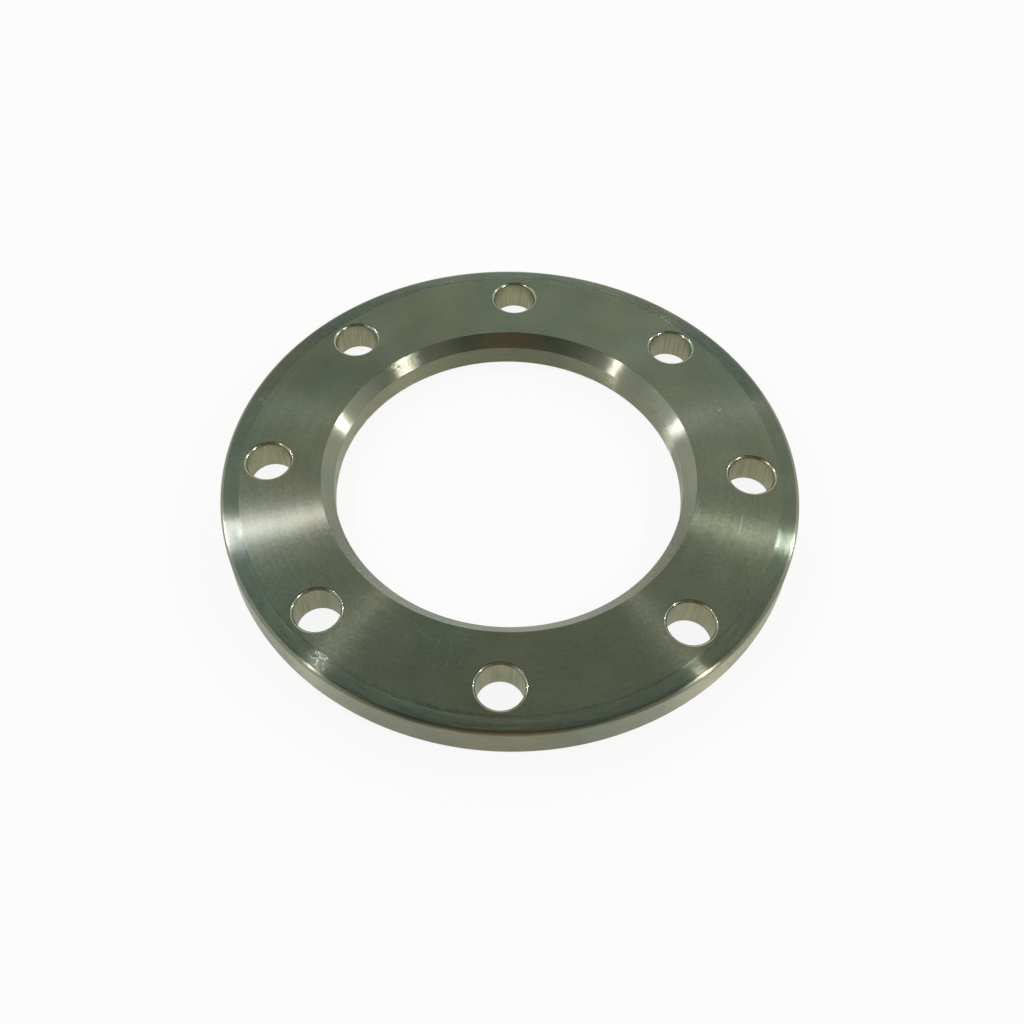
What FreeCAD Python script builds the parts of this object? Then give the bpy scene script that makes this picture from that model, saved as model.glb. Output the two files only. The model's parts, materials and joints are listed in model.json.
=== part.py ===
import FreeCAD, Part
import math
import os

# Flat steel pipe flange: a turned ring with a chamfered bore and a circle of bolt holes.
# The ring lies on its back face. The origin is the centre of that face, +Z runs up along
# the bore, and one bolt hole is centred on +X. All sizes are in millimetres.

# Ring
bore_diameter = 174.0
thickness = 18.0

# Bolt holes, evenly spaced on one circle
bolt_circle_diameter = 240.0
bolt_hole_diameter = 22.0
bolt_hole_count = 8

# Metal left between each bolt hole and the rim, which sets the ring's outer diameter
rim_wall = 11.5
outer_diameter = bolt_circle_diameter + bolt_hole_diameter + 2 * rim_wall

# Chamfer at the bore's front mouth, at 45 degrees, which clears the fillet of a stub end
bore_mouth_chamfer = 6.0

# Broken edges, all at 45 degrees
rim_edge_chamfer = 1.2
back_edge_chamfer = 1.0
bolt_hole_edge_chamfer = 0.9

# Shallow turned band that falls away towards the rim, from just outside the bolt holes' edges
band_clear_of_holes = 1.4
rim_band_drop = 0.3

# How far the drill's shape runs past each face, so that it cuts cleanly through
drill_overrun = 5.0


def turned(section):
    """Solid of revolution about the Z axis of a closed section, given as (radius, height) points."""
    corners = [FreeCAD.Vector(radius, 0, height) for radius, height in section]
    outline = Part.makePolygon(corners + corners[:1])
    face = Part.Face(outline)
    return face.revolve(FreeCAD.Vector(0, 0, 0), FreeCAD.Vector(0, 0, 1), 360)


def ring_blank():
    """The ring as it leaves the lathe, before it is drilled."""
    outer_radius = outer_diameter / 2
    bore_radius = bore_diameter / 2
    hole_edge_reach = (bolt_circle_diameter + bolt_hole_diameter) / 2 + bolt_hole_edge_chamfer
    band_inner_radius = hole_edge_reach + band_clear_of_holes
    band_outer_radius = outer_radius - rim_edge_chamfer
    band_edge_height = thickness - rim_band_drop
    return turned([
        (bore_radius + back_edge_chamfer, 0),
        (outer_radius - back_edge_chamfer, 0),
        (outer_radius, back_edge_chamfer),
        (outer_radius, band_edge_height - rim_edge_chamfer),
        (band_outer_radius, band_edge_height),
        (band_inner_radius, thickness),
        (bore_radius + bore_mouth_chamfer, thickness),
        (bore_radius, thickness - bore_mouth_chamfer),
        (bore_radius, back_edge_chamfer),
    ])


def bolt_hole():
    """What is drilled away for one bolt hole, with both of its edges countersunk."""
    hole_radius = bolt_hole_diameter / 2
    mouth_radius = hole_radius + bolt_hole_edge_chamfer
    return turned([
        (0, -drill_overrun),
        (mouth_radius, -drill_overrun),
        (mouth_radius, 0),
        (hole_radius, bolt_hole_edge_chamfer),
        (hole_radius, thickness - bolt_hole_edge_chamfer),
        (mouth_radius, thickness),
        (mouth_radius, thickness + drill_overrun),
        (0, thickness + drill_overrun),
    ])


def bolt_hole_places():
    """Centres of the bolt holes, from the one on +X round the circle."""
    pitch = 2 * math.pi / bolt_hole_count
    radius = bolt_circle_diameter / 2
    for index in range(bolt_hole_count):
        angle = index * pitch
        yield FreeCAD.Vector(radius * math.cos(angle), radius * math.sin(angle), 0)


def flange_ring():
    """The finished flange, one solid."""
    drilled = []
    for place in bolt_hole_places():
        hole = bolt_hole()
        hole.translate(place)
        drilled.append(hole)
    return ring_blank().cut(drilled).Solids[0]


ring = flange_ring()
os.makedirs("parts", exist_ok=True)
ring.exportStep("parts/flange_ring.step")
print("flange_ring: valid", ring.isValid(), "volume", round(ring.Volume), "mm3, faces", len(ring.Faces))
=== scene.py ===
import json
import math
from collections import namedtuple

import bpy
from bpy.props import FloatProperty, FloatVectorProperty, IntProperty, PointerProperty
from mathutils import Matrix, Vector


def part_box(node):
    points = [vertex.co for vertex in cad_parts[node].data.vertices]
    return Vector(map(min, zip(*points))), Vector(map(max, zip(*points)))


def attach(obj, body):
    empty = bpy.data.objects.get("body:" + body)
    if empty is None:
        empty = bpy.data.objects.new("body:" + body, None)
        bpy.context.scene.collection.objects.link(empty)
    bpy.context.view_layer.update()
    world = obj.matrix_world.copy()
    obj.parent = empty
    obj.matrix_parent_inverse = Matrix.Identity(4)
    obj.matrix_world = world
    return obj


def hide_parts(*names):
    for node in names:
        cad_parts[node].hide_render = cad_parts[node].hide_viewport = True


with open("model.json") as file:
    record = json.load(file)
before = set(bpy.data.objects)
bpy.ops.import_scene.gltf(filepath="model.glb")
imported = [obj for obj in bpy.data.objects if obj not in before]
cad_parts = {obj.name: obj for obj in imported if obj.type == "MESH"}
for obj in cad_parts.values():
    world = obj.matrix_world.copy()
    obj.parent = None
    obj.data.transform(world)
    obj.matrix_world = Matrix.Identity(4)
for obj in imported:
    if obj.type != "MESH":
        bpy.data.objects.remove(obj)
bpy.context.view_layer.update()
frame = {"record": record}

bl_info = {
    "name": "Turned pipe flange",
    "version": (1, 0, 0),
    "blender": (4, 5, 0),
    "location": "3D View > Sidebar > Flange",
    "description": "Builds a turned and drilled steel pipe flange round its packed solid, and its studio",
    "category": "Add Mesh",
}

# What the frame says of the flange, with lengths in metres
MM = 0.001
NODE = "flange_ring"
RING_LOW, RING_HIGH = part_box(NODE)
MOUNTS = {mount["name"]: mount for mount in frame["record"]["mounts"]}
BORE = MOUNTS["bore"]["dims"]
BOLTS = MOUNTS["bolt_holes"]["dims"]
BORE_MIDDLE = MOUNTS["bore"]["pos_m"][2]
BORE_WALL_LOW = BORE_MIDDLE - BORE["length_mm"] * MM / 2
BORE_WALL_HIGH = BORE_MIDDLE + BORE["length_mm"] * MM / 2

# Finishes, by the number that the mesh stores for each of its faces
FACE, BAND, MOUTH, CHAMFER, BORE_WALL, RIM_WALL, DRILLED, HOLE_EDGE = range(8)

# How each finish was cut. The tool's lines run round the axis, so many to a millimetre, and in the
# holes they run along the drill. Steepness is how steep the lines' flanks are on average, lean is
# how much steeper the outer flanks are, streaks is how strongly broader lines show in the colour,
# and spread and grain are how far those lines, and the grain between them, change the roughness.
Cut = namedtuple("Cut", "name lies per_mm steepness lean streaks roughness spread grain anisotropic")
CUTS = (
    Cut("turned_face", "flat", 9.0, 0.03, 0.0, 0.45, 0.287, 0.05, 0.16, 1.0),
    Cut("turned_band", "flat", 9.0, 0.29, 0.055, 0.30, 0.18, 0.03, 0.03, 1.0),
    Cut("turned_mouth", "sloping", 9.0, 0.17, 0.0, 0.30, 0.21, 0.03, 0.03, 1.0),
    Cut("turned_chamfer", "sloping", 9.0, 0.22, 0.0, 0.20, 0.20, 0.03, 0.02, 1.0),
    Cut("bored_wall", "upright", 9.0, 1.00, 0.0, 0.35, 0.18, 0.05, 0.06, 1.0),
    Cut("turned_rim", "upright", 9.0, 1.15, 0.0, 0.35, 0.21, 0.04, 0.03, 1.0),
    Cut("drilled_wall", "along", 1.3, 0.10, 0.0, 2.40, 0.36, 0.20, 0.10, 0.0),
    Cut("countersunk_edge", "sloping", 9.0, 0.08, 0.0, 0.20, 0.19, 0.02, 0.0, 0.0),
)

# A rougher steel than this keeps its lines and grain when a render is cleared of noise, so a finish
# that starts above it is kept above it.
SMOOTHEST = 0.277

# The broader lines and the grain that the eye can tell apart: how many to a millimetre, how steep
# the lines are, and how strongly the clouds and the grain show in the colour
BROAD_PER_MM = 0.9
BROAD_STEEPNESS = 0.006
GRAIN_PER_MM = 0.8
CLOUD_SHARE = 1.1
GRAIN_SHARE = 1.0

# How much the fine and the broader lines change on their way round the ring, and how many times
# longer than wide the lines in the holes are
FINE_WANDER = 3.0
BROAD_WANDER = 1.5
DRILLED_STRETCH = 20

# The clouds and the slower drift of the cast: how many to a millimetre, how much finer noise they
# hold, and how far the cast is spread towards its two ends
CLOUDS_PER_MM = 0.045
CLOUD_DETAIL = 2.5
CAST_PER_MM = 0.024
CAST_DETAIL = 1.5
CAST_CONTRAST = 3.0

# Average steepness of the noise texture, in its own units of height and length
NOISE_STEEPNESS = 0.36

# How much darker and paler than its finish the steel gets, and the faint casts between which its
# colour drifts
DARKER = 0.8
PALER = 1.2
COOL_CAST = (0.95, 1.0, 1.03, 1.0)
WARM_CAST = (1.05, 0.995, 0.93, 1.0)

# The share of a full turn at which anisotropic grooves run round the ring, and how finely the
# relief is read, in pixels
GROOVES_ROUND = 0.25
RELIEF_PIXELS = 0.01

# Marks on the front face: straight handling scratches from one place to another, and arcs of
# painted highlight where the tool's turned lines cross the lamps' streaks, by their radius and
# their first and last azimuth. Lengths are in millimetres and angles in degrees. Strength is how far each
# one shows.
Scratch = namedtuple("Scratch", "start end width strength")
SCRATCHES = (
    Scratch((-38.0, -93.5), (-32.0, -98.0), 0.5, 0.55),
    Scratch((-28.0, -98.0), (-28.5, -101.0), 0.4, 0.7),
    Scratch((-26.5, -101.5), (-26.5, -103.0), 0.4, 0.5),
    Scratch((-22.5, -98.5), (-23.0, -105.0), 0.4, 0.5),
    Scratch((-24.0, -108.0), (-23.5, -111.0), 0.4, 0.7),
    Scratch((-18.0, -109.0), (-17.0, -110.0), 0.5, 0.5),
    Scratch((-29.5, -125.5), (-29.0, -126.5), 0.6, 0.6),
    Scratch((-16.5, -97.0), (-15.5, -97.5), 0.5, 0.5),
    Scratch((45.0, -119.5), (45.5, -120.5), 0.5, 0.5),
    Scratch((107.0, 41.0), (108.5, 42.0), 0.6, 0.6),
)
Arc = namedtuple("Arc", "radius first last width strength")
HIGHLIGHT_ARCS = (
    Arc(116.0, -18.5, -12.0, 0.35, 0.7),
    Arc(119.8, -164.0, -158.0, 0.35, 0.25),
    Arc(94.2, -14.0, -9.0, 0.3, 0.6),
    Arc(95.4, -17.0, -12.5, 0.3, 0.5),
)
# Colour of the scratches, which are real wear, and of the arcs, which are painted highlight
SCRATCH_AND_HIGHLIGHT_SHADE = (0.30, 0.33, 0.27, 1.0)
SCRATCH_ROUGHNESS = 0.10

# An arc fades near its ends only, this many times as steeply as if it faded from its middle on.
ARC_FADE = 3

# Where the tool grooves lie on the rim band, as shares of its width from its inner edge
GROOVE_PLACES = (0.17, 0.09, 0.03)

# The mesh: faces round each rounded edge, how near vertices are joined, and the angle from which
# an edge is shaded as a sharp one
ROUNDING_STEPS = 4
JOINED_WITHIN = 0.004 * MM
SHARP_FROM = math.radians(12)

# Sockets that share their names with others of their node: the colours that a Mix node takes and
# gives, and the whole numbers that a Compare node takes
MIX_FIRST, MIX_SECOND, MIX_RESULT = 6, 7, 2
COMPARE_FIRST, COMPARE_SECOND = 2, 3

WHITE = (1.0, 1.0, 1.0, 1.0)


def length(name, description, default, smallest=0.0):
    """A length property, in metres."""
    return FloatProperty(
        name=name, description=description, default=default, min=smallest, unit="LENGTH", precision=5
    )


def colour(name, description, default):
    """A colour property."""
    return FloatVectorProperty(
        name=name, description=description, default=default, size=3, min=0, max=1, subtype="COLOR"
    )


def share(name, description, default):
    """A property from 0 to 1."""
    return FloatProperty(
        name=name, description=description, default=default, min=0, max=1, subtype="FACTOR"
    )


def angle(name, description, default):
    """An angle property, given in degrees."""
    return FloatProperty(name=name, description=description, default=math.radians(default), subtype="ANGLE")


class FlangeSizes(bpy.types.PropertyGroup):
    """Sizes of the flange. Those that its mounts and its box hold are read from the frame."""

    outer_diameter: length("Outer diameter", "Across the rim", 2 * RING_HIGH.x)
    thickness: length("Thickness", "From the back face to the front face", RING_HIGH.z - RING_LOW.z)
    bore_diameter: length("Bore", "Across the bore's straight wall", 2 * BORE["r_mm"] * MM)
    bolt_circle: length("Bolt circle", "Diameter of the circle of hole centres", BOLTS["pcd_mm"] * MM)
    hole_diameter: length("Bolt holes", "Across each bolt hole", 2 * BOLTS["hole_r_mm"] * MM)
    hole_count: IntProperty(name="Holes", description="Number of bolt holes", default=BOLTS["count"], min=3)
    mouth_chamfer: length("Bore mouth chamfer", "At the front", RING_HIGH.z - BORE_WALL_HIGH)
    back_chamfer: length("Back edges", "Chamfer at the back of the bore and the rim", BORE_WALL_LOW)
    rim_chamfer: length("Rim edge", "Chamfer at the front of the rim", 1.2 * MM)
    hole_chamfer: length("Hole edges", "Chamfer at both ends of each bolt hole", 0.9 * MM)
    band_width: length("Rim band", "Width of the turned band inside the rim", 8 * MM)
    band_drop: length("Rim band fall", "How far the band falls towards the rim", 0.3 * MM)
    edge_round: length("Edge rounding", "Radius that deburring leaves on the turned edges", 0.18 * MM)
    rim_round: length("Rim edge rounding", "Radius at both sides of the rim's front chamfer", 1.5 * MM)
    hole_round: length("Hole edge rounding", "Radius on the bolt holes' edges", 0.8 * MM)
    groove_width: length("Groove width", "Of the tool marks cut in the band", 0.3 * MM)
    groove_depth: length("Groove depth", "Of the tool marks cut in the band", 0.025 * MM)


class FlangeFinishAndShade(bpy.types.PropertyGroup):
    """Colours of the steel's turned and drilled surfaces. Each was set to how bright that surface shows, so
    the steps between these colours of one steel are partly the finishes and partly painted shade and painted
    reflection.
    """

    face: colour("Face", "Front and back faces", (0.168, 0.192, 0.137))
    band: colour("Band", "Turned band at the rim", (0.136, 0.167, 0.127))
    mouth: colour("Bore mouth", "Chamfer at the front of the bore", (0.255, 0.28, 0.215))
    chamfer: colour("Broken edges", "Chamfers of the rim and of the back edges", (0.235, 0.255, 0.19))
    bore: colour("Bore", "Wall of the bore", (0.29, 0.305, 0.20))
    rim: colour("Rim", "Outer wall", (0.355, 0.39, 0.285))
    hole: colour("Holes", "Walls of the bolt holes", (0.44, 0.445, 0.295))
    hole_edge: colour("Hole edges", "Countersunk edges of the bolt holes", (0.32, 0.355, 0.27))


class FlangeStudio(bpy.types.PropertyGroup):
    """The floor, the lamps and the camera."""

    floor_size: length("Floor", "Side of the floor", 12.0)
    floor_shade: colour("Floor shade", "Colour of the floor", (0.86, 0.86, 0.85))
    floor_glow: share("Floor glow", "Share of the floor that shows as plain white", 0.9)
    floor_mirrored: share("Mirrored glow", "Share of plain white where steel mirrors the floor", 0.46)
    room_glow: share("Room glow", "Share of the room beyond the floor that shows as plain white", 0.9)
    room_mirrored: share("Mirrored room", "Share of plain white where steel mirrors the room", 0.02)
    lamp_level: share("Lamp level", "Dims all the lamps", 1.0)
    camera_azimuth: angle("Azimuth", "Where the camera stands round the flange", 3.789)
    camera_elevation: angle("Elevation", "The camera's height above the floor", 51.838)
    camera_roll: angle("Roll", "Turn about the line of sight", -1.34)
    camera_distance: length("Distance", "From the camera to the point that it looks at", 618.089 * MM)
    camera_aim_across: length("Aim across", "That point, right of the bore's axis", -18.05 * MM, smallest=-1)
    camera_aim_along: length("Aim along", "That point, beyond the bore's axis", 22.426 * MM, smallest=-1)
    camera_lens: FloatProperty(name="Lens", description="Focal length in millimetres", default=41.762)
    camera_shift: FloatVectorProperty(
        name="Shift", description="Of the lens", default=(0.03948, -0.05533), size=2
    )


class Value:
    """A node's output. Arithmetic on it adds Math nodes to its tree."""

    def __init__(self, graph, socket):
        self.graph = graph
        self.socket = socket

    def output(self, name):
        """Another output of the same node, by its name or its number."""
        return Value(self.graph, self.socket.node.outputs[name])

    def __add__(self, other):
        return self.graph.maths("ADD", self, other)

    __radd__ = __add__

    def __sub__(self, other):
        return self.graph.maths("SUBTRACT", self, other)

    def __rsub__(self, other):
        return self.graph.maths("SUBTRACT", other, self)

    def __mul__(self, other):
        return self.graph.maths("MULTIPLY", self, other)

    __rmul__ = __mul__

    def __truediv__(self, other):
        return self.graph.maths("DIVIDE", self, other)

    def __rtruediv__(self, other):
        return self.graph.maths("DIVIDE", other, self)

    def __pow__(self, other):
        return self.graph.maths("POWER", self, other)

    def __gt__(self, other):
        return self.graph.maths("GREATER_THAN", self, other)


class Graph:
    """Adds nodes to one node tree."""

    def __init__(self, tree):
        self.tree = tree

    def add(self, kind, settings=None, inputs=None):
        """One node of that type: its settings are set first, then its inputs' values or links."""
        node = self.tree.nodes.new(kind)
        for name, value in (settings or {}).items():
            if name == "stops":
                self.set_stops(node.color_ramp, value)
            else:
                setattr(node, name, value)
        pairs = inputs.items() if isinstance(inputs, dict) else enumerate(inputs or [])
        for key, value in pairs:
            self.feed(node.inputs[key], value)
        return Value(self, node.outputs[0]) if node.outputs else node

    def feed(self, socket, value):
        """Links a value, or a list of them, to a socket, or sets the socket's own number."""
        if isinstance(value, Value):
            self.tree.links.new(value.socket, socket)
        elif isinstance(value, list):
            for item in reversed(value):
                self.tree.links.new(item.socket, socket)
        else:
            socket.default_value = value

    @staticmethod
    def set_stops(ramp, stops):
        """Gives a colour ramp its stops, each a place and a grey."""
        while len(ramp.elements) < len(stops):
            ramp.elements.new(1.0)
        for element, (place, grey) in zip(ramp.elements, stops):
            element.position = place
            element.color = (grey, grey, grey, 1)

    def maths(self, operation, *terms):
        """A Math node."""
        return self.add("ShaderNodeMath", {"operation": operation}, terms)

    def vector(self, x=0.0, y=0.0, z=0.0):
        """A vector from its three parts."""
        return self.add("ShaderNodeCombineXYZ", None, [x, y, z])

    def parts(self, vector):
        """A vector's three parts."""
        split = self.add("ShaderNodeSeparateXYZ", None, [vector])
        return split.output("X"), split.output("Y"), split.output("Z")

    def blend(self, factor, first, second, way="MIX"):
        """A mix of two colours, from the first alone at 0 to the second's whole effect at 1."""
        settings = {"data_type": "RGBA", "blend_type": way}
        inputs = {"Factor": factor, MIX_FIRST: first, MIX_SECOND: second}
        return self.add("ShaderNodeMix", settings, inputs).output(MIX_RESULT)

    def seen_white(self, seen, mirrored):
        """The share of plain white to show, where the camera sees it and where steel or glass does."""
        ray = self.add("ShaderNodeLightPath")
        passed_on = ray.output("Is Glossy Ray") + ray.output("Is Transmission Ray")
        return ray.output("Is Camera Ray") * seen + passed_on * mirrored


def opaque(shade):
    """A colour with full alpha, as node sockets hold it."""
    return (*shade, 1.0)


def emptied_tree(owner):
    """The node tree of a material or a world, with nothing in it."""
    owner.use_nodes = True
    owner.node_tree.nodes.clear()
    return owner.node_tree


def new_object(name, data):
    """A new object in the scene."""
    piece = bpy.data.objects.new(name, data)
    bpy.context.scene.collection.objects.link(piece)
    return piece


def rounded(corners, stretches, edge):
    """Rounds the inner corners of an open section.

    corners are (radius, height) points. stretches holds the finish from each corner to the next
    and the rounding of the corner at its end, which is 0 where the corner stays sharp. edge is
    the finish of the roundings. Returns the points and the finish of each stretch between them.
    """
    corners = [Vector(corner) for corner in corners]
    points, worn = [corners[0]], []
    for before, here, after, (finish, radius) in zip(corners, corners[1:], corners[2:], stretches):
        into, out = (here - before).normalized(), (after - here).normalized()
        turn = math.atan2(into.x * out.y - into.y * out.x, into.dot(out))
        start = here - into * radius * math.tan(abs(turn) / 2)
        points.append(start)
        worn.append(finish)
        if radius:
            aside = Vector((-into.y, into.x)) * math.copysign(radius, turn)
            for step in range(1, ROUNDING_STEPS + 1):
                swing = Matrix.Rotation(turn * step / ROUNDING_STEPS, 2)
                points.append(start + aside - swing @ aside)
                worn.append(edge)
    return points + [corners[-1]], worn + [stretches[-1][0]]


def bore_section(sizes):
    """The ring's section from the front face down through the bore to the back face."""
    bore = sizes.bore_diameter / 2
    front = bore + sizes.mouth_chamfer
    back = bore + sizes.back_chamfer
    lip = 2 * sizes.edge_round
    corners = [
        (front + lip, sizes.thickness),
        (front, sizes.thickness),
        (bore, sizes.thickness - sizes.mouth_chamfer),
        (bore, sizes.back_chamfer),
        (back, 0),
        (back + lip, 0),
    ]
    finishes = (FACE, MOUTH, BORE_WALL, CHAMFER, FACE)
    return rounded(corners, [(finish, sizes.edge_round) for finish in finishes], CHAMFER)


def rim_section(sizes):
    """The ring's section from the back face up the rim and over the band to the front face."""
    rim = sizes.outer_diameter / 2
    back = rim - sizes.back_chamfer
    band_edge = rim - sizes.rim_chamfer
    band_start = band_edge - sizes.band_width
    band_low = sizes.thickness - sizes.band_drop
    lip = 2 * sizes.edge_round
    corners = [
        (back - lip, 0),
        (back, 0),
        (rim, sizes.back_chamfer),
        (rim, band_low - sizes.rim_chamfer),
        (band_edge, band_low),
    ]
    stretches = [(FACE, sizes.edge_round), (CHAMFER, sizes.edge_round)]
    stretches += [(RIM_WALL, sizes.rim_round), (CHAMFER, sizes.rim_round)]
    for place in GROOVE_PLACES:
        middle = band_start + place * sizes.band_width
        height = sizes.thickness - place * sizes.band_drop
        half = sizes.groove_width / 2
        corners += [(middle + half, height), (middle, height - sizes.groove_depth), (middle - half, height)]
        stretches += [(BAND, 0)] * 3
    corners += [(band_start, sizes.thickness), (band_start - lip, sizes.thickness)]
    stretches += [(BAND, 0), (FACE, 0)]
    return rounded(corners, stretches, CHAMFER)


def hole_section(sizes):
    """A bolt hole's section about its own axis, from the front face to the back face.

    Its chamfers are at 45 degrees, and on each face a narrow lip holds their rounding.
    """
    hole = sizes.hole_diameter / 2
    mouth = hole + sizes.hole_chamfer
    rounding_reach = sizes.hole_round * math.tan(math.radians(45) / 2)
    lip = rounding_reach + sizes.edge_round / 4
    corners = [
        (mouth + lip, sizes.thickness),
        (mouth, sizes.thickness),
        (hole, sizes.thickness - sizes.hole_chamfer),
        (hole, sizes.hole_chamfer),
        (mouth, 0),
        (mouth + lip, 0),
    ]
    finishes = (FACE, HOLE_EDGE, DRILLED, HOLE_EDGE, FACE)
    return rounded(corners, [(finish, sizes.hole_round) for finish in finishes], HOLE_EDGE)


def section_mesh(sections):
    """One mesh of the sections as chains of edges, with each chain's number and each edge's finish."""
    vertices, edges, chains, finishes = [], [], [], []
    for number, (points, worn) in enumerate(sections):
        first = len(vertices)
        vertices += [(point.x, 0, point.y) for point in points]
        edges += [(first + step, first + step + 1) for step in range(len(worn))]
        chains += [number] * len(worn)
        finishes += worn
    mesh = bpy.data.meshes.new("flange_sections")
    mesh.from_pydata(vertices, edges, [])
    mesh.attributes.new("chain", "INT", "EDGE").data.foreach_set("value", chains)
    mesh.attributes.new("finish", "INT", "EDGE").data.foreach_set("value", finishes)
    return mesh


class RingGraph(Graph):
    """The node tree that turns the sections round the bore's axis and drills the bolt holes."""

    SIDE = 24  # steps along each side of the square patch round a hole
    RINGS = 8  # rings of faces from that patch's edge to the hole

    def stored(self, name):
        """A whole number that is stored on the geometry, by name."""
        return self.add("GeometryNodeInputNamedAttribute", {"data_type": "INT"}, {"Name": name})

    def store(self, geometry, name, domain, value):
        """Stores a whole number on the geometry."""
        settings = {"data_type": "INT", "domain": domain}
        inputs = {"Geometry": geometry, "Name": name, "Value": value}
        return self.add("GeometryNodeStoreNamedAttribute", settings, inputs)

    def same(self, first, second):
        """True where two whole numbers are equal."""
        settings = {"data_type": "INT", "operation": "EQUAL"}
        return self.add("FunctionNodeCompare", settings, {COMPARE_FIRST: first, COMPARE_SECOND: second})

    def chain(self, sections, number):
        """One section's chain of edges."""
        inputs = {"Geometry": sections, "Selection": self.same(self.stored("chain"), number)}
        return self.add("GeometryNodeSeparateGeometry", {"domain": "EDGE"}, inputs)

    def grid(self, across, along):
        """A grid of vertices, with each vertex's place across and along it."""
        inputs = {"Vertices X": across, "Vertices Y": along}
        mesh = self.add("GeometryNodeMeshGrid", None, inputs)
        index = self.add("GeometryNodeInputIndex")
        column = self.maths("FLOOR", index / along)
        return mesh, column, index - column * along

    def place(self, geometry, position):
        """Moves each vertex to its place."""
        return self.add("GeometryNodeSetPosition", None, {"Geometry": geometry, "Position": position})

    def swung(self, radius, azimuth, height):
        """The place at that radius, azimuth and height about Z."""
        x = radius * self.maths("COSINE", azimuth)
        y = radius * self.maths("SINE", azimuth)
        return self.vector(x, y, height)

    def turned(self, section, steps):
        """A chain of edges turned about Z in so many steps, with the finish of each edge on its faces."""
        count = self.add("GeometryNodeAttributeDomainSize", None, {"Geometry": section})
        mesh, column, row = self.grid(steps + 1, count)
        settings = {"data_type": "FLOAT_VECTOR", "domain": "POINT"}
        position = self.add("GeometryNodeInputPosition")
        inputs = {"Geometry": section, "Value": position, "Index": row}
        radius, _, height = self.parts(self.add("GeometryNodeSampleIndex", settings, inputs))
        mesh = self.place(mesh, self.swung(radius, column * (2 * math.pi) / steps, height))
        index = self.add("GeometryNodeInputIndex")
        stretch = index - self.maths("FLOOR", index / (count - 1)) * (count - 1)
        settings = {"data_type": "INT", "domain": "EDGE"}
        inputs = {"Geometry": section, "Value": self.stored("finish"), "Index": stretch}
        finish = self.add("GeometryNodeSampleIndex", settings, inputs)
        return self.store(mesh, "finish", "FACE", finish)

    def patch_round_hole(self, inner, outer, height, hole_at, hole, pitch):
        """Faces from a hole's edge out to a square patch of the ring that spans half a pitch."""
        mesh, column, row = self.grid(4 * self.SIDE + 1, self.RINGS + 1)
        around = column / self.SIDE
        quarter = self.maths("FLOOR", around)
        along = 2 * (around - quarter) - 1
        turn = quarter * (math.pi / 2)
        cosine = self.maths("COSINE", turn)
        sine = self.maths("SINE", turn)
        out = cosine - along * sine
        aside = sine + along * cosine
        radius = (inner + outer) / 2 + out * (outer - inner) / 2
        azimuth = aside * pitch / 4
        direction = turn + along * (math.pi / 4)
        near = row / self.RINGS
        far = 1 - near
        x = far * radius * self.maths("COSINE", azimuth)
        x = x + near * (hole_at + hole * self.maths("COSINE", direction))
        y = far * radius * self.maths("SINE", azimuth) + near * hole * self.maths("SINE", direction)
        return self.place(mesh, self.vector(x, y, height))

    def patch_between_holes(self, inner, outer, height, pitch):
        """Plain faces over the half pitch that lies between two holes' patches."""
        mesh, column, row = self.grid(self.SIDE + 1, self.SIDE + 1)
        radius = inner + column * (outer - inner) / self.SIDE
        azimuth = pitch / 4 + row * pitch / (2 * self.SIDE)
        return self.place(mesh, self.swung(radius, azimuth, height))

    def join(self, *geometries):
        """Several geometries as one."""
        return self.add("GeometryNodeJoinGeometry", None, [list(geometries)])


SIZE_INPUTS = (
    "Front inner radius",
    "Front outer radius",
    "Back inner radius",
    "Back outer radius",
    "Thickness",
    "Bolt circle radius",
    "Hole mouth radius",
)


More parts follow.
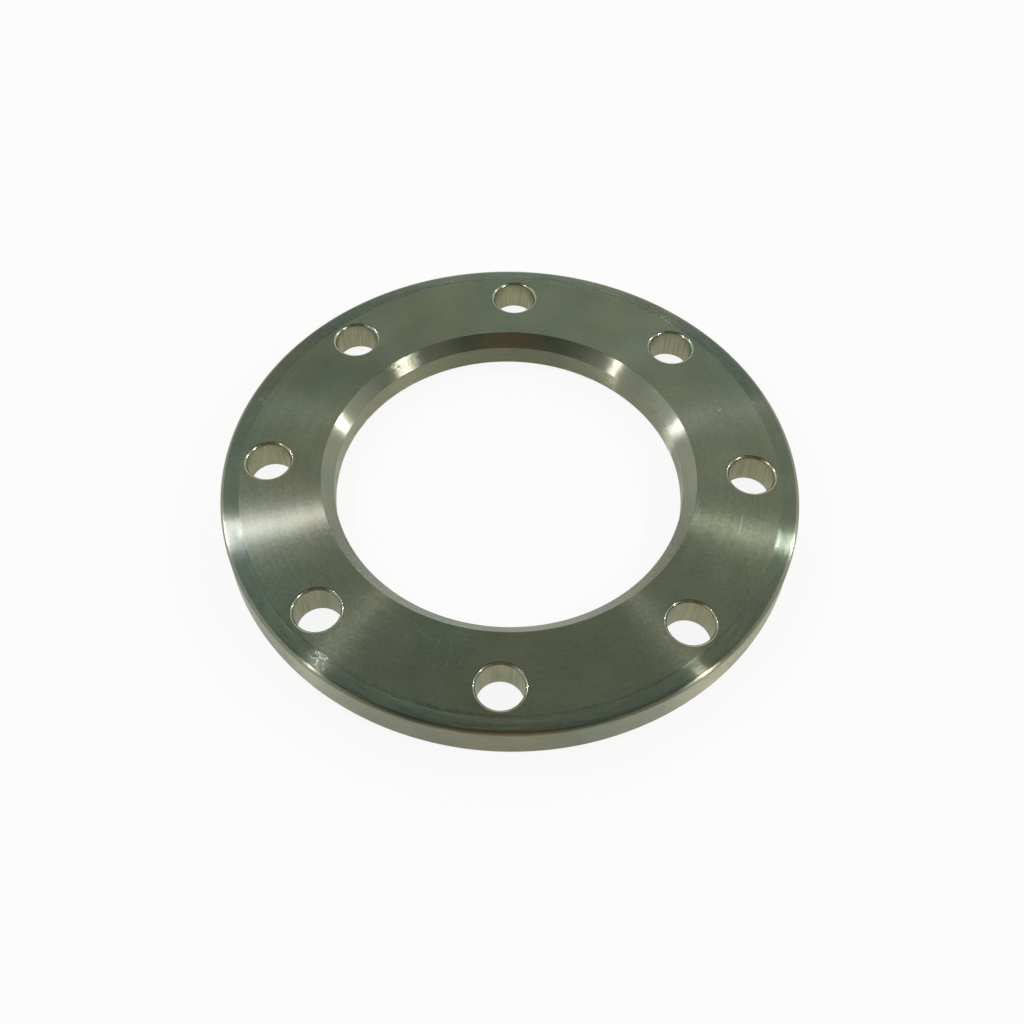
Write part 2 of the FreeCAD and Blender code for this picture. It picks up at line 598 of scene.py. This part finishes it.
def ring_tree(materials):
    """The node tree of the ring. Its inputs are the hole count and the sizes of its flat faces."""
    tree = bpy.data.node_groups.new("turned_and_drilled_ring", "GeometryNodeTree")
    sockets = tree.interface
    sockets.new_socket("Geometry", in_out="INPUT", socket_type="NodeSocketGeometry")
    sockets.new_socket("Holes", in_out="INPUT", socket_type="NodeSocketInt")
    for name in SIZE_INPUTS:
        sockets.new_socket(name, in_out="INPUT", socket_type="NodeSocketFloat")
    sockets.new_socket("Geometry", in_out="OUTPUT", socket_type="NodeSocketGeometry")

    graph = RingGraph(tree)
    given = graph.add("NodeGroupInput")
    holes = given.output("Holes")
    front_inner, front_outer, back_inner, back_outer, thickness, circle, mouth = (
        given.output(name) for name in SIZE_INPUTS
    )
    pitch = 2 * math.pi / holes

    bore, rim, hole = (graph.chain(given, number) for number in range(3))
    hole = graph.turned(hole, 4 * graph.SIDE)
    hole = graph.add("GeometryNodeTransform", None, {"Geometry": hole, "Translation": graph.vector(circle)})
    front = graph.join(
        graph.patch_round_hole(front_inner, front_outer, thickness, circle, mouth, pitch),
        graph.patch_between_holes(front_inner, front_outer, thickness, pitch),
    )
    back = graph.join(
        graph.patch_round_hole(back_inner, back_outer, 0.0, circle, mouth, pitch),
        graph.patch_between_holes(back_inner, back_outer, 0.0, pitch),
    )
    back = graph.add("GeometryNodeFlipFaces", None, [back])
    faces = graph.store(graph.join(front, back), "finish", "FACE", FACE)
    sector = graph.join(hole, faces)

    places = graph.add("GeometryNodeMeshLine", {"mode": "OFFSET"}, {"Count": holes, "Offset": (0, 0, 0)})
    turn = graph.vector(0.0, 0.0, graph.add("GeometryNodeInputIndex") * pitch)
    inputs = {"Points": places, "Instance": sector, "Rotation": turn}
    sectors = graph.add("GeometryNodeInstanceOnPoints", None, inputs)
    steps = 2 * graph.SIDE * holes
    sides = graph.join(graph.turned(bore, steps), graph.turned(rim, steps))
    whole = graph.add("GeometryNodeRealizeInstances", None, [graph.join(sides, sectors)])
    whole = graph.add("GeometryNodeMergeByDistance", None, {"Geometry": whole, "Distance": JOINED_WITHIN})
    whole = graph.add("GeometryNodeSetShadeSmooth", {"domain": "FACE"}, {"Geometry": whole})
    sharp = graph.add("GeometryNodeInputMeshEdgeAngle") > SHARP_FROM
    inputs = {"Geometry": whole, "Selection": sharp, "Shade Smooth": False}
    whole = graph.add("GeometryNodeSetShadeSmooth", {"domain": "EDGE"}, inputs)
    for number, material in enumerate(materials):
        chosen = graph.same(graph.stored("finish"), number)
        inputs = {"Geometry": whole, "Selection": chosen, "Material": material}
        whole = graph.add("GeometryNodeSetMaterial", None, inputs)
    graph.add("NodeGroupOutput", None, [whole])
    return tree


def plain_mesh(source, name):
    """The evaluated shape of an object as a new object with no modifier. The source goes."""
    evaluated = source.evaluated_get(bpy.context.evaluated_depsgraph_get())
    mesh = bpy.data.meshes.new_from_object(evaluated)
    mesh.name = name
    piece = new_object(name, mesh)
    bpy.data.objects.remove(source)
    return piece


class SteelGraph(Graph):
    """Shader nodes for turned steel. Lengths read from the object are in millimetres."""

    def __init__(self, name):
        self.material = bpy.data.materials.new(name)
        super().__init__(emptied_tree(self.material))
        where = self.add("ShaderNodeTexCoord").output("Object")
        self.x, self.y, self.z = (part * (1 / MM) for part in self.parts(where))
        self.radius = (self.x * self.x + self.y * self.y) ** 0.5
        self.cosine = self.x / self.radius
        self.sine = self.y / self.radius

    def noise(self, vector, scale, detail=2.0):
        """Noise from 0 to 1."""
        inputs = {"Vector": vector, "Scale": scale, "Detail": detail}
        return self.add("ShaderNodeTexNoise", None, inputs)

    def tool_lines(self, lies, per_mm, wander):
        """Noise drawn out as a tool leaves it: fine across its way and long along it."""
        if lies == "along":
            vector = self.vector(self.x * per_mm, self.y * per_mm, self.z * per_mm / DRILLED_STRETCH)
        else:
            across = {"flat": self.radius, "sloping": self.z * math.sqrt(2), "upright": self.z}[lies]
            vector = self.vector(across * per_mm, self.cosine * wander, self.sine * wander)
        return self.noise(vector, 1.0)

    def clamp(self, value):
        """A value kept from 0 to 1."""
        return self.add("ShaderNodeClamp", None, [value])

    def contrast(self, value, gain):
        """Noise spread further about its middle, and kept from 0 to 1."""
        return self.clamp((value - 0.5) * gain + 0.5)

    def scratch(self, mark):
        """A straight scratch on the front face, from 0 beside it to its strength along its middle."""
        run = Vector(mark.end) - Vector(mark.start)
        x = self.x - mark.start[0]
        y = self.y - mark.start[1]
        along = self.clamp((x * run.x + y * run.y) / run.length_squared)
        across_x = x - along * run.x
        across_y = y - along * run.y
        away = (across_x * across_x + across_y * across_y) ** 0.5
        return self.clamp(1 - away / mark.width) * mark.strength

    def arc(self, mark):
        """A turned line on the front face painted pale as a highlight, from 0 beside it to its strength
        along its middle.
        """
        middle = math.radians(mark.first + mark.last) / 2
        half = math.radians(mark.last - mark.first) / 2
        facing = self.cosine * math.cos(middle) + self.sine * math.sin(middle)
        near = self.clamp((facing - math.cos(half)) * (ARC_FADE / (1 - math.cos(half))))
        away = self.maths("ABSOLUTE", self.radius - mark.radius)
        return near * self.clamp(1 - away / mark.width) * mark.strength

    def scratches_and_highlights(self):
        """The scratches and the arcs of painted highlight on the front face."""
        scratch_and_highlight_marks = [self.scratch(mark) for mark in SCRATCHES] + [self.arc(mark) for mark in HIGHLIGHT_ARCS]
        shown = sum(scratch_and_highlight_marks[1:], scratch_and_highlight_marks[0])
        return self.clamp(shown) * (self.z > BORE_MIDDLE / MM)

    def finish(self, tone, roughness, height, anisotropic):
        """Ends the material: steel with these maps, and grooves that run round the ring."""
        bump = {"Strength": 1.0, "Distance": MM, "Filter Width": RELIEF_PIXELS, "Height": height}
        steel = self.add(
            "ShaderNodeBsdfPrincipled",
            None,
            {
                "Base Color": tone,
                "Metallic": 1.0,
                "Roughness": roughness,
                "Normal": self.add("ShaderNodeBump", None, bump),
                "Anisotropic": anisotropic,
                "Anisotropic Rotation": GROOVES_ROUND,
            },
        )
        self.add("ShaderNodeOutputMaterial", None, [steel])
        return self.material


def steel_material(cut, shade, marked=False):
    """Cut steel: tool lines in its roughness, shade and relief, and a faint cast in clouds."""
    graph = SteelGraph(cut.name)
    fine = graph.tool_lines(cut.lies, cut.per_mm, FINE_WANDER)
    lines = graph.tool_lines(cut.lies, BROAD_PER_MM, BROAD_WANDER)
    where = graph.vector(graph.x, graph.y, graph.z)
    cloud = graph.noise(where, CLOUDS_PER_MM, CLOUD_DETAIL)
    cast = graph.noise(where, CAST_PER_MM, CAST_DETAIL)
    grain = graph.noise(where, GRAIN_PER_MM)
    rough = cut.roughness + cut.spread * (lines - 0.5) + cut.grain * (grain - 0.5)
    if cut.roughness > SMOOTHEST:
        rough = graph.maths("MAXIMUM", rough, SMOOTHEST)
    dark = opaque([DARKER * part for part in shade])
    pale = opaque([PALER * part for part in shade])
    drift = CLOUD_SHARE * (cloud - 0.5) + GRAIN_SHARE * (grain - 0.5) + cut.streaks * (lines - 0.5)
    tone = graph.blend(drift + 0.5, dark, pale)
    cast = graph.blend(graph.contrast(cast, CAST_CONTRAST), COOL_CAST, WARM_CAST)
    tone = graph.blend(1.0, tone, cast, "MULTIPLY")
    height = fine * (cut.steepness / (NOISE_STEEPNESS * cut.per_mm))
    height = height + lines * (BROAD_STEEPNESS / (NOISE_STEEPNESS * BROAD_PER_MM))
    if cut.lean:
        height = height - cut.lean * graph.radius
    if marked:
        # Scratches and arcs of painted highlight: paler and rougher than the face
        scratch_and_highlight_marks = graph.scratches_and_highlights()
        tone = graph.blend(scratch_and_highlight_marks, tone, SCRATCH_AND_HIGHLIGHT_SHADE)
        rough = rough + scratch_and_highlight_marks * SCRATCH_ROUGHNESS
    return graph.finish(tone, rough, height, cut.anisotropic)


class FLANGE_OT_ring(bpy.types.Operator):
    """Build the flange, with its turned section, its bolt holes and its finishes"""

    bl_idname = "flange.ring"
    bl_label = "Flange ring"

    def execute(self, context):
        sizes = context.scene.flange_sizes
        # Colours of the finishes, which are partly painted shade and painted reflection
        finish = context.scene.flange_finish
        sections = [bore_section(sizes), rim_section(sizes), hole_section(sizes)]
        shades = {
            FACE: finish.face,
            BAND: finish.band,
            MOUTH: finish.mouth,
            CHAMFER: finish.chamfer,
            BORE_WALL: finish.bore,
            RIM_WALL: finish.rim,
            DRILLED: finish.hole,
            HOLE_EDGE: finish.hole_edge,
        }
        materials = [
            steel_material(cut, shades[number], marked=(number == FACE)) for number, cut in enumerate(CUTS)
        ]
        source = new_object("flange_sections", section_mesh(sections))
        tree = ring_tree(materials)
        modifier = source.modifiers.new("turn_and_drill", "NODES")
        modifier.node_group = tree
        (bore, _), (rim, _), (hole, _) = sections
        values = {
            "Holes": sizes.hole_count,
            "Front inner radius": bore[0].x,
            "Back inner radius": bore[-1].x,
            "Back outer radius": rim[0].x,
            "Front outer radius": rim[-1].x,
            "Thickness": sizes.thickness,
            "Bolt circle radius": sizes.bolt_circle / 2,
            "Hole mouth radius": hole[0].x,
        }
        for item in tree.interface.items_tree:
            if item.in_out == "INPUT" and item.name in values:
                modifier[item.identifier] = values[item.name]
        ring = plain_mesh(source, "turned_flange")
        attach(ring, "root")
        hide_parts(NODE)
        return {"FINISHED"}


# The room: how bright its walls are from the floor to overhead, from in front to behind, and from
# the left to the right
BY_HEIGHT = [
    (0.0, 0.64), (0.3, 0.74), (0.5, 0.92), (0.64, 1.0),
    (0.73, 0.94), (0.8, 0.33), (0.87, 0.09), (1.0, 0.05),
]
BY_DEPTH = [(0.0, 0.19), (0.1, 0.23), (0.26, 0.50), (0.5, 0.60), (0.72, 0.82), (0.85, 0.96), (1.0, 1.0)]
BY_WIDTH = [
    (0.0, 1.0), (0.15, 0.96), (0.23, 0.5), (0.34, 0.40), (0.45, 0.98),
    (0.58, 1.0), (0.7, 0.44), (0.82, 0.8), (1.0, 0.8),
]
ROOM_SHADOW = (0.01, 0.015, 0.0, 1.0)
ROOM_LIGHT = (1.72, 1.76, 1.70, 1.0)

# Patches of the room: the way that each lies from the flange, the cosines at which it begins and is
# full, and its colour
Patch = namedtuple("Patch", "toward reach shade")
PATCHES = (
    Patch((0.0, -0.79, 0.62), (0.86, 0.95), (0.15, 0.17, 0.11, 1.0)),
    Patch((0.85, -0.48, 0.22), (0.87, 0.96), (0.22, 0.24, 0.18, 1.0)),
    Patch((0.0, -0.79, 0.62), (0.95, 0.992), (0.38, 0.155, 0.05, 1.0)),
    Patch((-0.64, 0.40, 0.66), (0.955, 0.995), (0.75, 0.78, 0.75, 1.0)),
)

# The lamps: place and side in metres, power in watts, and colour
Lamp = namedtuple("Lamp", "name place side power tint")
LAMPS = (
    Lamp("back_left", (-0.768, 0.477, 0.864), 0.035, 3.1, (0.97, 0.83, 1.0)),
    Lamp("left", (-0.681, -0.230, 0.829), 0.02, 1.25, (0.98, 0.84, 0.88)),
    Lamp("right", (1.045, -0.437, 0.858), 0.03, 4.0, (0.97, 0.86, 0.83)),
    Lamp("back_right", (1.540, 0.711, 1.060), 0.065, 7.5, (0.95, 0.96, 1.0)),
)

# How far below the flange the floor lies, and how near to the camera things still show, in metres
FLOOR_GAP = 0.05 * MM
NEAREST_SEEN = 10 * MM


def add_floor(studio):
    """A plain pale floor that shows partly as plain white and keeps the flange's shadow."""
    half = studio.floor_size / 2
    under = RING_LOW.z - FLOOR_GAP
    mesh = bpy.data.meshes.new("floor")
    corners = [(-half, -half, under), (half, -half, under), (half, half, under), (-half, half, under)]
    mesh.from_pydata(corners, [], [(0, 1, 2, 3)])
    floor = new_object("floor", mesh)
    material = bpy.data.materials.new("floor")
    graph = Graph(emptied_tree(material))
    paint = graph.add("ShaderNodeBsdfDiffuse", None, {"Color": opaque(studio.floor_shade)})
    white = graph.add("ShaderNodeEmission", None, {"Color": WHITE, "Strength": 1.0})
    seen = graph.seen_white(studio.floor_glow, studio.floor_mirrored)
    shown = graph.add("ShaderNodeMixShader", None, [seen, paint, white])
    graph.add("ShaderNodeOutputMaterial", None, [shown])
    mesh.materials.append(material)


def add_lamps(studio):
    """Square lamps round the flange, each facing its middle."""
    middle = (RING_LOW + RING_HIGH) / 2
    for lamp in LAMPS:
        data = bpy.data.lights.new(lamp.name, "AREA")
        data.shape = "SQUARE"
        data.size = lamp.side
        data.energy = lamp.power * studio.lamp_level
        data.color = lamp.tint
        piece = new_object(lamp.name, data)
        piece.location = Vector(lamp.place)
        piece.rotation_euler = (piece.location - middle).to_track_quat("Z", "Y").to_euler()


def add_world(studio):
    """A soft room: brightest behind the flange, dim overhead, and dark and a little warm in front."""
    world = bpy.data.worlds.new("studio")
    graph = Graph(emptied_tree(world))
    across, along, up = graph.parts(graph.add("ShaderNodeTexCoord").output("Generated"))
    walls = graph.add("ShaderNodeValToRGB", {"stops": BY_HEIGHT}, [up])
    depth = graph.add("ShaderNodeValToRGB", {"stops": BY_DEPTH}, [along * 0.5 + 0.5])
    width = graph.add("ShaderNodeValToRGB", {"stops": BY_WIDTH}, [across * 0.5 + 0.5])
    shade = graph.blend(walls * depth * width, ROOM_SHADOW, ROOM_LIGHT)
    for patch in PATCHES:
        toward = Vector(patch.toward).normalized()
        facing = across * toward.x + along * toward.y + up * toward.z
        settings = {"interpolation_type": "SMOOTHSTEP"}
        covered = graph.add("ShaderNodeMapRange", settings, [facing, *patch.reach])
        shade = graph.blend(covered, shade, patch.shade)
    shade = graph.blend(graph.seen_white(studio.room_glow, studio.room_mirrored), shade, WHITE)
    light = graph.add("ShaderNodeBackground", None, {"Color": shade, "Strength": 1.0})
    graph.add("ShaderNodeOutputWorld", None, [light])
    bpy.context.scene.world = world


def add_camera(studio):
    """The camera, where the photograph was taken from."""
    azimuth, elevation, roll = studio.camera_azimuth, studio.camera_elevation, studio.camera_roll
    back = Vector(
        (
            math.sin(azimuth) * math.cos(elevation),
            -math.cos(azimuth) * math.cos(elevation),
            math.sin(elevation),
        )
    )
    right = Vector((math.cos(azimuth), math.sin(azimuth), 0))
    up = back.cross(right)
    beyond = Vector((-math.sin(azimuth), math.cos(azimuth), 0))
    aim = right * studio.camera_aim_across + beyond * studio.camera_aim_along
    place = aim + back * studio.camera_distance
    rolled_right = right * math.cos(roll) + up * math.sin(roll)
    rolled_up = up * math.cos(roll) - right * math.sin(roll)
    data = bpy.data.cameras.new("camera")
    data.lens = studio.camera_lens
    data.shift_x, data.shift_y = studio.camera_shift
    data.clip_start = NEAREST_SEEN
    camera = new_object("camera", data)
    axes = Matrix((rolled_right, rolled_up, back)).transposed()
    camera.matrix_world = Matrix.Translation(place) @ axes.to_4x4()
    bpy.context.scene.camera = camera


class FLANGE_OT_studio(bpy.types.Operator):
    """Set up the floor, the lamps, the room's light and the camera"""

    bl_idname = "flange.studio"
    bl_label = "Studio"

    def execute(self, context):
        studio = context.scene.flange_studio
        add_floor(studio)
        add_lamps(studio)
        add_world(studio)
        add_camera(studio)
        context.scene.view_settings.view_transform = "Standard"
        return {"FINISHED"}


class FLANGE_PT_sidebar(bpy.types.Panel):
    """Sizes and finishes of the flange, and the buttons that build it"""

    bl_idname = "FLANGE_PT_sidebar"
    bl_label = "Pipe flange"
    bl_space_type = "VIEW_3D"
    bl_region_type = "UI"
    bl_category = "Flange"

    def draw(self, context):
        scene = context.scene
        for group, operator in (
            (scene.flange_sizes, None),
            (scene.flange_finish, FLANGE_OT_ring),
            (scene.flange_studio, FLANGE_OT_studio),
        ):
            box = self.layout.box()
            for name in group.__annotations__:
                box.prop(group, name)
            if operator:
                box.operator(operator.bl_idname)


CLASSES = (FlangeSizes, FlangeFinishAndShade, FlangeStudio, FLANGE_OT_ring, FLANGE_OT_studio, FLANGE_PT_sidebar)


def register():
    for item in CLASSES:
        bpy.utils.register_class(item)
    bpy.types.Scene.flange_sizes = PointerProperty(type=FlangeSizes)
    bpy.types.Scene.flange_finish = PointerProperty(type=FlangeFinishAndShade)
    bpy.types.Scene.flange_studio = PointerProperty(type=FlangeStudio)


def unregister():
    del bpy.types.Scene.flange_studio
    del bpy.types.Scene.flange_finish
    del bpy.types.Scene.flange_sizes
    for item in reversed(CLASSES):
        bpy.utils.unregister_class(item)


def main():
    """Builds the flange and its studio."""
    register()
    bpy.ops.flange.ring()
    bpy.ops.flange.studio()


if __name__ == "__main__":
    main()
